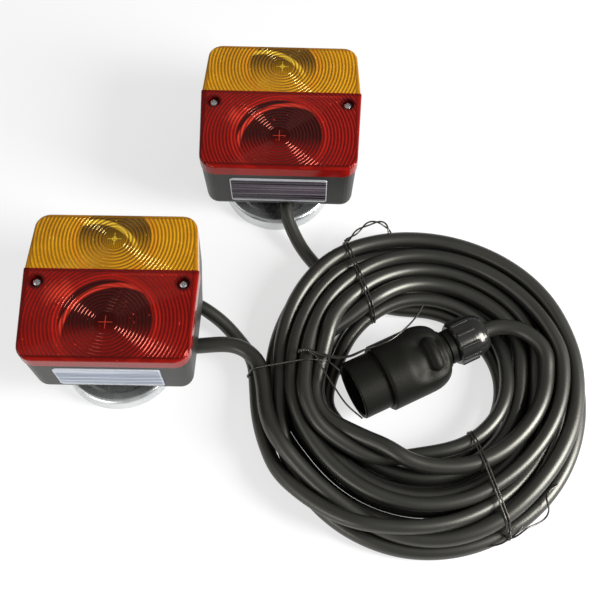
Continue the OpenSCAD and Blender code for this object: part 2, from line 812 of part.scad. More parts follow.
// The coil of leads: a round-cornered ring, with room for the plug that lies in it
// and a socket for each lead that runs into it
coil_low = tie_d + 2 * clear;
coil_edge_r = 5;
coil_gap = 0.5;
module at_coil() {
  translate([coil_x, -coil_y, 0]) children();
}
module lead_socket(way, d) {
  last = len(way) - 1;
  back = way[last - 1] - way[last];
  translate(way[last]) rotate([0, acos(back[2] / norm(back)), atan2(back[1], back[0])])
    cylinder(d = d + 4 * fit, h = 40);
}
module cable_coil() {
  r = coil_edge_r;
  color(rubber)
  difference() {
    at_coil() rotate_extrude($fn = 96)
      polygon(concat(
        corner_arc(coil_outer_r - r, coil_h - r, r, 0, 4),
        corner_arc(coil_inner_r + r, coil_h - r, r, 90, 4),
        corner_arc(coil_inner_r + r, coil_low + r, r, 180, 4),
        corner_arc(coil_outer_r - r, coil_low + r, r, 270, 4)
      ));
    at_plug() {
      rod(-coil_gap, neck_x, plug_d + 2 * coil_gap);
      rod(0, nut_end + coil_gap, nut_d + 2 * coil_gap);
    }
    lead_socket(main_way, main_lead_d);
    lead_socket(link_left_way, link_lead_d);
    lead_socket(link_upper_way, link_lead_d);
  }
}

// The lead inside the plug and out of its gland, as far as the coil
plug_lead_way = [for (x = [body_x + 18, neck_x, nut_x, nut_end + coil_gap])
  let (p = turned([x, 0], plug_turn)) [plug_x + p[0], p[1] - plug_y, plug_z]];

// A point round the coil's middle
function round_coil(angle, r, z = 0) = [coil_x + r * cos(angle), r * sin(angle) - coil_y, z];

// A tie: a wire loop round the coil's section, from a point inside the coil to one outside it
module tie_loop(inner, outer) {
  way = outer - inner;
  low = clear / 2;
  high = coil_h + clear + tie_d;
  translate(inner) rotate([90, 0, atan2(way[1], way[0])]) linear_extrude(tie_d, center = true)
    difference() {
      loop_outline(-tie_d, norm(way) + tie_d, low, high, coil_edge_r);
      loop_outline(0, norm(way), low + tie_d, high - tie_d, coil_edge_r - tie_d);
    }
}
module loop_outline(x_low, x_high, z_low, z_high, r) {
  polygon(concat(
    corner_arc(x_high - r, z_high - r, r, 0, 4),
    corner_arc(x_low + r, z_high - r, r, 90, 4),
    corner_arc(x_low + r, z_low + r, r, 180, 4),
    corner_arc(x_high - r, z_low + r, r, 270, 4)
  ));
}
module free_end(way) {
  cord(way, tie_d, 8);
}

tie_in = coil_inner_r - clear;
tie_out = coil_outer_r + clear;
lead_out = coil_outer_r + 7;
tie_top_z = coil_h + clear + tie_d / 2;
// Points given as an angle, a distance outside the coil and a height above its top
function over_coil(spots) = [for (s = spots) round_coil(s[0], coil_outer_r + s[1], tie_top_z + s[2])];
module tie_top() {
  color(steel) {
    tie_loop(round_coil(125, tie_in), round_coil(116.5, tie_out));
    free_end(over_coil([[117, -8, 0], [114.9, -0.3, 1.1], [110.1, 2.6, 1.1], [106.3, 5.4, -1.9],
      [103, 5.9, -2.9], [100.1, 3.7, -0.9], [99.2, -4.7, 0.6]]));
  }
}
module tie_left() {
  inner = round_coil(163, tie_in);
  outer = round_coil(174.8, lead_out);
  knot = 0.4 * outer + 0.6 * inner + [0, 0, tie_top_z];
  color(steel) {
    tie_loop(inner, outer);
    free_end(concat([knot], over_coil([[168.3, -40.7, 1.1], [168.2, -56, 1.1], [160.9, -63.7, 1.1]])));
    free_end(concat([knot], over_coil([[175.7, -38.8, 1.1], [187.1, -48.6, 1.1], [200.2, -52.8, 0.1]])));
  }
}
module tie_front() {
  outer = round_coil(-64.5, tie_out);
  knot = round_coil(-64.5, tie_out + tie_d / 2, 12);
  color(steel) {
    tie_loop(round_coil(-54, tie_in), outer);
    free_end(concat([knot], over_coil([[-66.3, 2, -20.9], [-71.1, 2.8, -22.9], [-74.8, 1.7, -23.4]])));
    free_end(concat([knot], over_coil([[-61.2, 5.1, -17.9], [-56.4, 5.4, -15.9], [-51.6, 5.3, -14.9]])));
  }
}

module main_lead_lamp_end() { color(rubber) cord(main_way, main_lead_d); }
module main_lead_plug_end() { color(rubber) cord(plug_lead_way, main_lead_d); }
module link_lead_left_end() { color(rubber) cord(link_left_way, link_lead_d); }
module link_lead_upper_end() { color(rubber) cord(link_upper_way, link_lead_d); }

at_left() housing(left_entries);  // left_housing
at_left() lens_seal();  // left_lens_seal
at_left() amber_lens();  // left_amber_lens
at_left() red_lens();  // left_red_lens
at_left() plate_window();  // left_plate_window
at_left() reflector();  // left_reflector
at_left() bulb(amber_ring_y);  // left_indicator_bulb
at_left() bulb(-red_ring_y);  // left_tail_bulb
at_left() bulb_sockets();  // left_bulb_sockets
at_left() terminal_block();  // left_terminal_block
at_left() lens_screws();  // left_lens_screws
at_left() left_elbows();  // left_grommets
at_left() magnet_cup();  // left_magnet_cup
at_left() magnet_ring();  // left_magnet_ring
at_left() foot_spacer();  // left_foot_spacer
at_left() foot_bolt();  // left_foot_bolt
at_left() foot_washer();  // left_foot_washer
at_left() foot_nut();  // left_foot_nut
at_upper() housing(upper_entries);  // upper_housing
at_upper() lens_seal();  // upper_lens_seal
at_upper() amber_lens();  // upper_amber_lens
at_upper() red_lens();  // upper_red_lens
at_upper() plate_window();  // upper_plate_window
at_upper() reflector();  // upper_reflector
at_upper() bulb(amber_ring_y);  // upper_indicator_bulb
at_upper() bulb(-red_ring_y);  // upper_tail_bulb
at_upper() bulb_sockets();  // upper_bulb_sockets
at_upper() terminal_block();  // upper_terminal_block
at_upper() lens_screws();  // upper_lens_screws
at_upper() upper_elbow();  // upper_grommets
at_upper() magnet_cup();  // upper_magnet_cup
at_upper() magnet_ring();  // upper_magnet_ring
at_upper() foot_spacer();  // upper_foot_spacer
at_upper() foot_bolt();  // upper_foot_bolt
at_upper() foot_washer();  // upper_foot_washer
at_upper() foot_nut();  // upper_foot_nut
main_lead_lamp_end();
main_lead_plug_end();
link_lead_left_end();
link_lead_upper_end();
cable_coil();
plug_body();
plug_sleeve();
contact_carrier();
plug_contacts();
gland_seal();
gland_nut();
tie_top();
tie_left();
tie_front();
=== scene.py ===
# %% [markdown]
# A towing light set: two square lamps on magnet feet, one long lead wound into a coil with a
# seven-way plug lying in it, and a shorter lead that joins the lamps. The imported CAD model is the
# frame. This script winds the leads turn by turn, gives every piece its finish, and adds light.

import math

import bpy
import numpy as np
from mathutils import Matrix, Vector


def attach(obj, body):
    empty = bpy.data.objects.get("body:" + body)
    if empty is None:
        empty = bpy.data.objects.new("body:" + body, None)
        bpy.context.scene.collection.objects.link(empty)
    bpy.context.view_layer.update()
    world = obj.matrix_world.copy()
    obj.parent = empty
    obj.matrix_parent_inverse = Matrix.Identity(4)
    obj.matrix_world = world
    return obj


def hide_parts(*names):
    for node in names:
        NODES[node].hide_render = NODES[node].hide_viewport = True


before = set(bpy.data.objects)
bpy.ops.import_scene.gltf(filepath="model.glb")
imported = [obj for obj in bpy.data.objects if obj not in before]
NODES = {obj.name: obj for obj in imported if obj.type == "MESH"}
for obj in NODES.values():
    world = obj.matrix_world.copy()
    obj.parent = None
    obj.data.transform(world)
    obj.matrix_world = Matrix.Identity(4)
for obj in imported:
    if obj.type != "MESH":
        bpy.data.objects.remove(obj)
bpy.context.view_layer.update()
MM = 0.001


def added(name, data):
    """A new object in the scene, at the origin."""
    made = bpy.data.objects.new(name, data)
    bpy.context.scene.collection.objects.link(made)
    return made


# %% [markdown]
# The camera stands in front of the set and looks steeply down, a little over half a metre away.
# It is placed by where it stands and what it looks at, which keeps the horizon level.

# %% Camera
CAMERA_PLACE = Vector((62.475, -316.9, 584.86)) * MM
CAMERA_TARGET = Vector((62.475, -38.965, 0.0)) * MM
SENSOR_WIDTH, PICTURE_PIXELS, FOCAL_PIXELS = 36, 600, 970.85
camera = added("camera", bpy.data.cameras.new("camera"))
camera.location = CAMERA_PLACE
camera.rotation_euler = (CAMERA_TARGET - CAMERA_PLACE).to_track_quat("-Z", "Y").to_euler()
camera.data.sensor_width = SENSOR_WIDTH
camera.data.lens = FOCAL_PIXELS / PICTURE_PIXELS * SENSOR_WIDTH
camera.data.clip_start, camera.data.clip_end = 0.01, 10
bpy.context.scene.camera = camera
print("camera lens:", round(camera.data.lens, 2), "mm")

# %% [markdown]
# The leads come first. Real leads are wound by hand, so no turn is a clean circle: each strand
# settles into the valley between the ones below it. Every strand starts in a slot of a table
# that gives its distance from the coil's middle and its height at eight angles. A short relaxing
# loop then pushes apart any strands that touch, keeps them off the plug and the floor, and
# smooths each one along its length. The result is one line for each lead.

# %% The coil's middle, the plug's axis and the leads' ways outside the coil
COIL = np.array([138.0, -103.0])
MAIN_D, LINK_D = 10.0, 9.0
PLUG_MOUTH = np.array([95.0, -111.5, 21.5])
PLUG_TURN = math.radians(26)
PLUG_WAY = np.array([math.cos(PLUG_TURN), math.sin(PLUG_TURN), 0.0])
LEFT_PLACE, LEFT_YAW = np.array([-50.0, -63.0]), math.radians(-1)
UPPER_PLACE, UPPER_YAW = np.array([50.0, 67.0]), math.radians(-1.7)
LEAD_Z = 16.4


def way_out(place, yaw, entry):
    """Two points on the axis of an elbow, one near its entry and one further out."""
    turn = math.radians(entry[2])
    c, s = math.cos(yaw), math.sin(yaw)
    points = []
    for out in (7, 16):
        x, y = entry[0] + out * math.cos(turn), entry[1] + out * math.sin(turn)
        points.append([place[0] + c * x - s * y, place[1] + s * x + c * y, LEAD_Z])
    return points


MAIN_ENTRY, LINK_ENTRY, UPPER_ENTRY = (30, -15.5, 0), (30, 14.5, 0), (4, -28, -90)
main_way = np.array([
    *way_out(LEFT_PLACE, LEFT_YAW, MAIN_ENTRY),
    [0, -78.8, 16.4], [8, -78, 16.4], [15, -77.7, 16.4], [21, -78.1, 16.3],
    [25.5, -79.4, 16], [29, -81.9, 15.6], [33.5, -85.9, 15.1], [37, -90, 14.8]])
link_way = np.array([
    *way_out(LEFT_PLACE, LEFT_YAW, LINK_ENTRY),
    [0, -52, 14.8], [5, -54.7, 13], [10, -57.8, 10.8], [15.5, -62.3, 8.3], [21, -68, 6],
    [25.5, -73.8, 5], [31, -80.8, 4.8], [33.5, -88.5, 4.8]])
upper_way = np.array([
    *way_out(UPPER_PLACE, UPPER_YAW, UPPER_ENTRY),
    [53.5, 16.5, 14.5], [57, 8.5, 11.5], [61.5, -0.5, 8.5], [67, -8.5, 6.2], [73, -15.5, 5],
    [78.5, -22, 4.8]])
print("ways outside the coil:", len(main_way), len(link_way), len(upper_way), "points")


# %% Lines through points
def along(points, step):
    """Points at an even step along a line of points."""
    run = np.concatenate([[0], np.cumsum(np.linalg.norm(np.diff(points, axis=0), axis=1))])
    marks = np.linspace(0, run[-1], max(2, int(round(run[-1] / step)) + 1))
    return np.stack([np.interp(marks, run, points[:, k]) for k in range(3)], 1)


def smoothed(line, passes):
    """The line, with each point moved towards the middle of its neighbours in every pass."""
    for _ in range(passes):
        line[1:-1] = (line[:-2] + 2 * line[1:-1] + line[2:]) / 4
    return line


def curved(points, step=2.5, passes=2):
    """A smooth line through points: cubics that share their slope where they meet."""
    p = np.vstack([2 * points[0] - points[1], points, 2 * points[-1] - points[-2]])
    line = []
    for a, b, c, d in zip(p[:-3], p[1:-2], p[2:-1], p[3:]):
        gap = np.linalg.norm(c - b)
        slope_b = (c - a) * gap / max(np.linalg.norm(b - a) + gap, 1e-9)
        slope_c = (d - b) * gap / max(np.linalg.norm(d - c) + gap, 1e-9)
        t = np.linspace(0, 1, 12, endpoint=False)[:, None]
        line.append((1 + 2 * t) * (1 - t) ** 2 * b + t * (1 - t) ** 2 * slope_b
                    + t * t * (3 - 2 * t) * c + t * t * (t - 1) * slope_c)
    return smoothed(along(np.vstack([*line, points[-1:]]), step), passes)


def eased(x, low, high):
    """0 below low, 1 above high, eased in between."""
    t = np.clip((x - low) / (high - low), 0, 1)
    return t * t * (3 - 2 * t)


print("smoothed:", smoothed(np.array([[0.0], [1.0], [0.0]]), 1).ravel(), "eased:", eased(1, 0, 4))



# %% The end of the main lead: a loop that turns back over the coil into the plug's nut
NUT_X = 92.5
NUT_END = PLUG_MOUTH + NUT_X * PLUG_WAY
LOOP_R = 27.0
LOOP_FROM, LOOP_TO = 102, 206
LOOP_TOP, LOOP_DROP = 24.8, 3.3
loop_middle = NUT_END[:2] + LOOP_R * np.array([math.sin(PLUG_TURN), -math.cos(PLUG_TURN)])
loop = []
for heading in range(LOOP_FROM, LOOP_TO + 1, 8):
    a = math.radians(heading - 90)
    done = (heading - LOOP_FROM) / (LOOP_TO - LOOP_FROM)
    loop.append([*(loop_middle + LOOP_R * np.array([math.cos(a), math.sin(a)])),
                 LOOP_TOP - LOOP_DROP * done ** 2])
loop_way = np.array(loop + [list(PLUG_MOUTH + x * PLUG_WAY) for x in (NUT_X, 74, 55, 38)])
print("loop middle from the coil's:", (loop_middle - COIL).round(1))

# %% Slots of the strands: distance from the coil's middle and height, a row for each turn
ANGLES = [180, 225, 270, 315, 360, 387, 450, 487]
MAIN_SLOTS = [
    [(97.3, 14.8), (89, 17), (99.5, 14.5), (91, 20), (96, 18.5), (97, 19), (96.3, 21), (97, 22.5)],
    [(88, 16), (100.5, 5.2), (103.6, 5.2), (100.5, 5.2), (100, 5.2), (98.5, 5.2), (99, 5.2),
     (99, 14.3)],
    [(93.2, 5.2), (87.6, 5.2), (88.6, 5.2), (88, 5.2), (88.5, 5.2), (87, 5.2), (87.5, 5.2),
     (87.5, 14.3)],
    [(81.5, 5.2), (77.4, 5.2), (78.4, 5.2), (77.6, 5.2), (77, 5.2), (75, 5.2), (76, 5.2),
     (76, 14.3)],
    [(69.5, 5.2), (65.5, 5.2), (66.5, 5.2), (65.5, 5.2), (65.5, 5.2), (64, 5.2), (65, 5.2),
     (65, 14.3)],
    [(63.3, 13.3), (59.5, 13.4), (60.5, 13.3), (59.5, 13.4), (60, 13.4), (69, 13.3), (70.5, 13.3),
     (59.5, 22.5)],
    [(75.4, 13.3), (71, 13.4), (72.5, 13.3), (71, 13.4), (71.5, 13.4), (80.5, 13.3), (81.8, 13.3),
     (70.5, 22.5)],
    [(57.5, 21.5), (51, 22), (55.5, 24), (64.5, 22.7), (76.5, 23.5), (80, 24.6)],
]
LINK_SLOTS = [
    [(103, 4.7), (98.5, 15), (91.3, 21.5), (82.5, 13.4), (83, 13.3), (92.5, 13.3), (93.3, 13.3),
     (88.5, 22.5)],
    [(79.5, 22), (77.5, 21.5), (79, 21.5), (77, 21.5), (86.8, 22), (87.6, 22), (85.8, 21.5),
     (79.5, 25)],
    [(68.3, 22), (62, 21.5), (45, 21), (49, 21), (53.5, 20), (58, 12), (59.5, 13.3), (54, 14.3)],
    [(57.5, 4.7), (51.5, 4.7), (50, 4.7), (50, 4.7), (52, 4.7), (53.5, 4.7), (54, 4.7)],
]
PLANE_STEP = 3
COIL_STARTS, MAIN_ENDS, LINK_ENDS = 177, 7 * 360 + 363, 4 * 360 + 90


def strand(slots, first, last):
    """A strand's angle, distance and height at each plane, eased between its slots."""
    keys = np.array([(angle + 360 * turn, *slot) for turn, row in enumerate(slots)
                     for angle, slot in zip(ANGLES, row)], float)
    angle = np.arange(first, last + 1, PLANE_STEP, dtype=float)
    gap = np.clip(np.searchsorted(keys[:, 0], angle) - 1, 0, len(keys) - 2)
    t = eased(angle, keys[gap, 0], keys[gap + 1, 0])[:, None]
    return angle, keys[gap, 1:] * (1 - t) + keys[gap + 1, 1:] * t


main_angle, main_at = strand(MAIN_SLOTS, COIL_STARTS, MAIN_ENDS)
link_angle, link_at = strand(LINK_SLOTS, COIL_STARTS, LINK_ENDS)
print("planes:", len(main_angle), "main,", len(link_angle), "link")


# %% What the strands keep clear of: the plug and the ways of the leads outside the coil
def plug_radius(x):
    """The plug's radius at a distance from its mouth."""
    return np.interp(x, [0, 19, 19.1, 47, 53, 58, 62, 70, 70.1, 83, 89, 92],
                     [18.5, 18.5, 21.5, 21.5, 20.5, 17.5, 12.5, 11, 14.5, 14.5, 12.5, 9.5])


def in_space(angle, at):
    """Places of strand points, from angle, distance and height."""
    a = np.radians(angle)
    return np.stack([COIL[0] + at[:, 0] * np.cos(a), COIL[1] + at[:, 0] * np.sin(a), at[:, 1]], 1)


leave = in_space(main_angle[-1:], main_at[-1:])[0]
loop_full = curved(np.vstack([leave, loop_way]))
tail_from = in_space(link_angle[-1:], link_at[-1:])[0]
tail_to = upper_way[-1]
out_heading = (upper_way[-2] - upper_way[-1]) / np.linalg.norm(upper_way[-2] - upper_way[-1])
PULL = 22.0
t = np.linspace(0, 1, 9)[:, None]
tail = ((1 - t) ** 3 * tail_from + 3 * t * (1 - t) ** 2 * (tail_from + [-PULL, 0, 0])
        + 3 * t * t * (1 - t) * (tail_to - PULL * out_heading) + t ** 3 * tail_to)
tail_full = curved(np.vstack([tail, upper_way[-2::-1]]))
plug_x = np.arange(0, 93, 2.5)


def block(line, diameter, spare):
    """A line that strands keep off, with a radius for each of its points."""
    return line, np.full(len(line), diameter / 2 + spare)


blocks = [
    (PLUG_MOUTH + plug_x[:, None] * PLUG_WAY, plug_radius(plug_x) + 0.3),
    block(loop_full, MAIN_D, 0.4),
    block(tail_full, LINK_D, 0.4),
    block(curved(main_way)[:-4], MAIN_D, 0.3),
    block(curved(link_way)[:-4], LINK_D, 0.3),
]
print("blocks:", [len(line) for line, _ in blocks], "points")


# %% [markdown]
# Strands that cross the same plane through the coil's middle can touch there, so each plane is a
# small problem of circles that push each other apart. A point that lies in a block moves out by
# the block's slope. Between the pushes, each point drifts to the middle of its neighbours along
# the lead, which keeps the strand smooth, and a weak pull holds it near its slot.

# %% Which points may touch, and how they push
SPACING = 1.02  # strands settle this many diameters apart
FLOOR_GAP = 0.15  # millimetres under the lowest strands
LEAST_R = 43.5  # no strand comes nearer to the coil's middle
TOP_LAYER_Z = 19  # strands above this height show, so they are held more firmly
OWN_END, OWN_START = 30, 22  # points of a lead next to the block that carries it on


def pairs_in_planes(angle):
    """Every pair of points that lie in one plane through the coil's middle."""
    planes = 360 // PLANE_STEP
    plane = np.round(angle / PLANE_STEP).astype(int) % planes
    groups = [np.where(plane == k)[0] for k in range(planes)]
    pairs = [[g[i] for i in np.triu_indices(len(g), 1)] for g in groups]
    return [np.concatenate(x) for x in zip(*pairs)]


def near_blocks(place, wide, split):
    """Points that may touch a block, except those of the lead that the block carries on."""
    count = len(place)
    own = [(0, 0), (split - OWN_END, split), (count - OWN_END, count), (0, OWN_START),
           (split, split + OWN_START)]
    near = []
    for (points, radius), (low, high) in zip(blocks, own):
        gap = np.linalg.norm(place[:, None] - points[None], axis=2)
        i, j = np.where(gap < radius[None] + wide[:, None] / 2 + 14)
        keep = (i < low) | (i >= high)
        near.append((i[keep], points[j[keep]], radius[j[keep]]))
    return [np.concatenate(x) for x in zip(*near)]


def strand_moves(at, first, second, need):
    """Moves that take strands out of each other."""
    away = at[second] - at[first]
    gap = np.maximum(np.hypot(*away.T), 1e-6)
    over = np.maximum(need - gap, 0)
    push = (0.5 * over / gap)[:, None] * away
    move, hits = np.zeros_like(at), np.zeros(len(at))
    for who, sign in ((first, -1), (second, 1)):
        np.add.at(move, who, sign * push)
        np.add.at(hits, who, over > 0)
    return move / np.maximum(1, 0.6 * hits)[:, None]


def block_moves(place, outward, wide, near):
    """Moves that take strands out of the block they lie deepest in, and how deep they lie."""
    who, points, radius = near
    off = place[who] - points
    gap = np.maximum(np.linalg.norm(off, axis=1), 1e-6)
    over = np.maximum(radius + wide[who] / 2 - gap, 0)
    slope = np.stack([(off[:, :2] * outward[who]).sum(1), off[:, 2]], 1) / gap[:, None]
    size = np.maximum((slope ** 2).sum(1), 0.15)
    push = slope * (over / size)[:, None]
    move, deepest = np.zeros((len(place), 2)), np.zeros(len(place))
    np.maximum.at(deepest, who, over)
    top = over >= deepest[who] - 1e-9
    move[who[top]] = push[top]
    return move, deepest


# %% Relax the strands
def relax(rounds):
    """Angle and settled place of every strand point, and where the link lead's points begin."""
    angle = np.concatenate([main_angle, link_angle])
    at = np.vstack([main_at, link_at])
    slot = at.copy()
    wide = np.concatenate([np.full(len(main_at), MAIN_D), np.full(len(link_at), LINK_D)])
    count, split = len(at), len(main_at)
    first, second = pairs_in_planes(angle)
    touch = (wide[first] + wide[second]) / 2
    ends = np.zeros(count, bool)
    ends[[0, 1, split - 1, split - 2, split, split + 1, count - 1, count - 2]] = True
    inner = np.where(~ends)[0]
    hold = np.where(slot[:, 1] > TOP_LAYER_Z, 0.03, 0.015)[:, None]
    turn = np.radians(angle)
    outward = np.stack([np.cos(turn), np.sin(turn)], 1)
    near = near_blocks(in_space(angle, at), wide, split)
    for n in range(rounds):
        at[inner] += 0.5 * ((at[inner - 1] + at[inner + 1]) / 2 - at[inner])
        at[inner] += (hold * (1 - 0.7 * n / rounds) * (slot - at))[inner]
        for _ in range(3 if n < 0.8 * rounds else 8):
            move = strand_moves(at, first, second, touch * SPACING)
            clear, deep = block_moves(in_space(angle, at), outward, wide, near)
            move = np.where((deep > 0)[:, None], move * 0.5 + 0.7 * clear, move)
            move[ends] = 0
            at += move
            at[:, 1] = np.maximum(at[:, 1], wide / 2 + FLOOR_GAP)
            at[:, 0] = np.maximum(at[:, 0], LEAST_R)
    gap = np.hypot(*(at[second] - at[first]).T)
    deep = block_moves(in_space(angle, at), outward, wide, near)[1]
    print("strands: closest pair over by", round(float((touch - gap).max()), 2),
          "mm; moved", round(float(np.hypot(*(at - slot).T).mean()), 2), "mm")
    print("blocks: worst over by", round(float(deep.max()), 2), "mm")
    return angle, at, split


turn_angle, turn_at, split = relax(300)
main_turns = in_space(turn_angle[:split], turn_at[:split])
link_turns = in_space(turn_angle[split:], turn_at[split:])
print("coil: r", turn_at[:, 0].min().round(1), "to", turn_at[:, 0].max().round(1),
      "top", (turn_at[:, 1].max() + 5).round(1))


# %% Join each lead into one line
def joined(*parts):
    """One smooth line through all parts of a lead."""
    return along(smoothed(along(np.vstack(parts), 2.5), 6), 3.0)


def length_of(line):
    """A line's length in metres."""
    return float(np.linalg.norm(np.diff(line, axis=0), axis=1).sum() * MM)


main_line = joined(curved(main_way), main_turns[2:], loop_full[1:])
link_line = joined(curved(link_way), link_turns[2:-1], tail_full)
for name, line in (("main", main_line), ("link", link_line)):
    print(name, "lead:", round(length_of(line), 3), "m,", len(line), "points")


# %% [markdown]
# Finishes are node trees, and so is the shape of a tube. Their maths reads best as plain sums, so
# one small class wraps a socket and turns + - * / into Math nodes, and one method makes every
# other kind of node.

# %% A way to write node trees
class Value:
    """A socket that a node gives its value through."""

    def __init__(self, nodes, socket):
        self.nodes, self.socket = nodes, socket

    def other(self, key):
        """Another output of the same node."""
        return Value(self.nodes, self.socket.node.outputs[key])

    def math(self, operation, *inputs):
        return self.nodes.node("ShaderNodeMath", {"operation": operation}, inputs)

    def __add__(self, other):
        return self.math("ADD", self, other)

    def __sub__(self, other):
        return self.math("SUBTRACT", self, other)

    def __rsub__(self, other):
        return self.math("SUBTRACT", other, self)

    def __mul__(self, other):
        return self.math("MULTIPLY", self, other)

    def __truediv__(self, other):
        return self.math("DIVIDE", self, other)

    def __pow__(self, other):
        return self.math("POWER", self, other)

    __radd__, __rmul__ = __add__, __mul__

    def wave(self, step):
        """A cosine that comes round again after a step."""
        return self.math("COSINE", self * (2 * math.pi / step))

    def size(self):
        return self.math("ABSOLUTE", self)

    def between(self, zero_at, one_at):
        """0 at one value and 1 at the other, eased in between."""
        return self.nodes.node("ShaderNodeMapRange", {"interpolation_type": "SMOOTHSTEP"},
                               [self, zero_at, one_at, 0.0, 1.0])

    def near(self, middle, zero_at, one_at):
        """0 at one distance from a middle and 1 at the other, eased in between."""
        return (self - middle).size().between(zero_at, one_at)


class Nodes:
    """A node tree that is being written."""

    def __init__(self, tree):
        self.tree = tree

    def feed(self, socket, value):
        if isinstance(value, Value):
            self.tree.links.new(value.socket, socket)
        elif isinstance(value, tuple) and len(value) == 3 and len(socket.default_value) == 4:
            socket.default_value = (*value, 1)
        else:
            socket.default_value = value

    def node(self, kind, settings=None, inputs=(), output=0):
        """Makes a node of any kind and gives one of its outputs."""
        made = self.tree.nodes.new(kind)
        for key, value in (settings or {}).items():
            setattr(made, key, value)
        for key, value in inputs.items() if isinstance(inputs, dict) else enumerate(inputs):
            self.feed(made.inputs[key], value)
        return Value(self, made.outputs[output]) if made.outputs else None


class Finish(Nodes):
    """A material that is being written."""

    def __init__(self, name):
        self.material = bpy.data.materials.new(name)
        self.material.use_nodes = True
        super().__init__(self.material.node_tree)
        self.shader = self.tree.nodes["Principled BSDF"]

    def place(self, output="Object"):
        return self.node("ShaderNodeTexCoord", output=output)

    def parts(self, vector):
        split = self.node("ShaderNodeSeparateXYZ", None, [vector])
        return [split.other(k) for k in range(3)]

    def noise(self, scale, detail, roughness=0.5, at=None):
        return self.node("ShaderNodeTexNoise", None,
                         {"Vector": at or self.place(), "Scale": scale, "Detail": detail,
                          "Roughness": roughness})

    def mix(self, factor, low, high):
        return self.node("ShaderNodeMix", {"data_type": "RGBA"}, {0: factor, 6: low, 7: high}, 2)

    def bump(self, height, distance):
        return self.node("ShaderNodeBump", None,
                         {"Strength": 1.0, "Distance": distance, "Height": height})

    def set(self, **values):
        for key, value in values.items():
            self.feed(self.shader.inputs[key.replace("_", " ")], value)
        return self


def dress(finish, *names):
    """Gives CAD nodes or new pieces one finish."""
    for name in names:
        piece = NODES.get(name) or bpy.data.objects[name]
        piece.data.materials.clear()
        piece.data.materials.append(finish.material)


def both(*names):
    """The names of both lamps' nodes."""
    return [f"{lamp}_{name}" for lamp in ("left", "upper") for name in names]


# %% Finishes of the plain pieces
WARM = (1.0, 0.98, 0.86)


def shade(colour, share):
    return tuple(c * share for c in colour)


def moulded(name, colour, rough=0.4, grain=1800, depth=0.00003, level=0.5):
    """Moulded plastic or rubber: a fine grain, and slight changes of gloss and colour."""
    f = Finish(name)
    cloud, fine = f.noise(60, 3), f.noise(grain, 2)
    f.set(Base_Color=f.mix(cloud, shade(colour, 0.7), shade(colour, 1.35)),
          Roughness=cloud * 0.14 + (rough - 0.07), Normal=f.bump(fine, depth),
          Specular_IOR_Level=level, Specular_Tint=WARM)
    return f


def metal(name, colour, rough=0.3, grain=900, depth=0.00002, metallic=1.0):
    """Bare metal with a fine grain, and slight changes of gloss and colour."""
    f = Finish(name)
    cloud, fine = f.noise(90, 4), f.noise(grain, 3)
    f.set(Base_Color=f.mix(cloud, shade(colour, 0.8), colour), Metallic=metallic,
          Roughness=cloud * 0.2 + (rough - 0.1), Normal=f.bump(fine, depth))
    return f


housing_black = moulded("housing_plastic", (0.008, 0.008, 0.007), 0.38, 1800, 0.00003, 0.33)
seal_black = moulded("seal_rubber", (0.012, 0.012, 0.012), 0.6)
block_cream = moulded("block_plastic", (0.62, 0.6, 0.52), 0.4)
ferrite_grey = moulded("ferrite", (0.03, 0.03, 0.032), 0.6, 1200, 0.0001)
plug_grey = moulded("plug_plastic", (0.005, 0.005, 0.0042), 0.46, 1300, 0.00012, 0.12)
nut_black = moulded("nut_plastic", (0.012, 0.012, 0.012), 0.2, 1300, 0.00002, 0.42)
tray_bright = metal("bright_tray", (0.86, 0.87, 0.88), 0.16)
steel = metal("bolt_steel", (0.72, 0.72, 0.71), 0.26)
tie_metal = metal("tie_wire", (0.075, 0.07, 0.062), 0.3, 700, 0.00003, 0.85)
brass = metal("contact_brass", (0.72, 0.52, 0.2), 0.25)
glass = Finish("bulb_glass").set(Base_Color=(0.95, 0.95, 0.95), Roughness=0.03,
                                 Transmission_Weight=1.0, IOR=1.45)
print("finishes so far:", [m.name for m in bpy.data.materials])


# %% The leads: satin black rubber, with a mould line along it and faint scuffs across
def lead_finish():
    """Rubber that knows where it is round the lead, from the UV map of the tube."""
    f = Finish("lead_rubber")
    around = f.parts(f.place("UV"))[1]
    line = around.near(0.37, 0.016, 0.006)
    scuff = f.noise(260, 5, 0.7).between(0.6, 0.78)
    cloud = f.noise(35, 3)
    colour = f.mix(cloud, (0.0055, 0.0055, 0.005), (0.012, 0.012, 0.0105))
    colour = f.mix(scuff * 0.25, colour, (0.035, 0.034, 0.03))
    f.set(Base_Color=f.mix(line * 0.5, colour, (0.04, 0.04, 0.036)),
          Roughness=cloud * 0.1 + scuff * 0.05 + 0.34,
          Normal=f.bump(line * 0.5 + f.noise(500, 2) * 0.12, 0.00012),
          Specular_IOR_Level=0.72, Specular_Tint=WARM)
    return f


lead_black = lead_finish()
print("lead finish:", len(lead_black.tree.nodes), "nodes")


# %% [markdown]
# A lead is a round section that follows a line, and so is the wire of a tie. One Geometry Nodes
# tree draws them all: it turns the edges of a mesh into curves, sweeps a circle along them and
# closes the ends. It also writes a UV map, so that a finish can run along the lead.

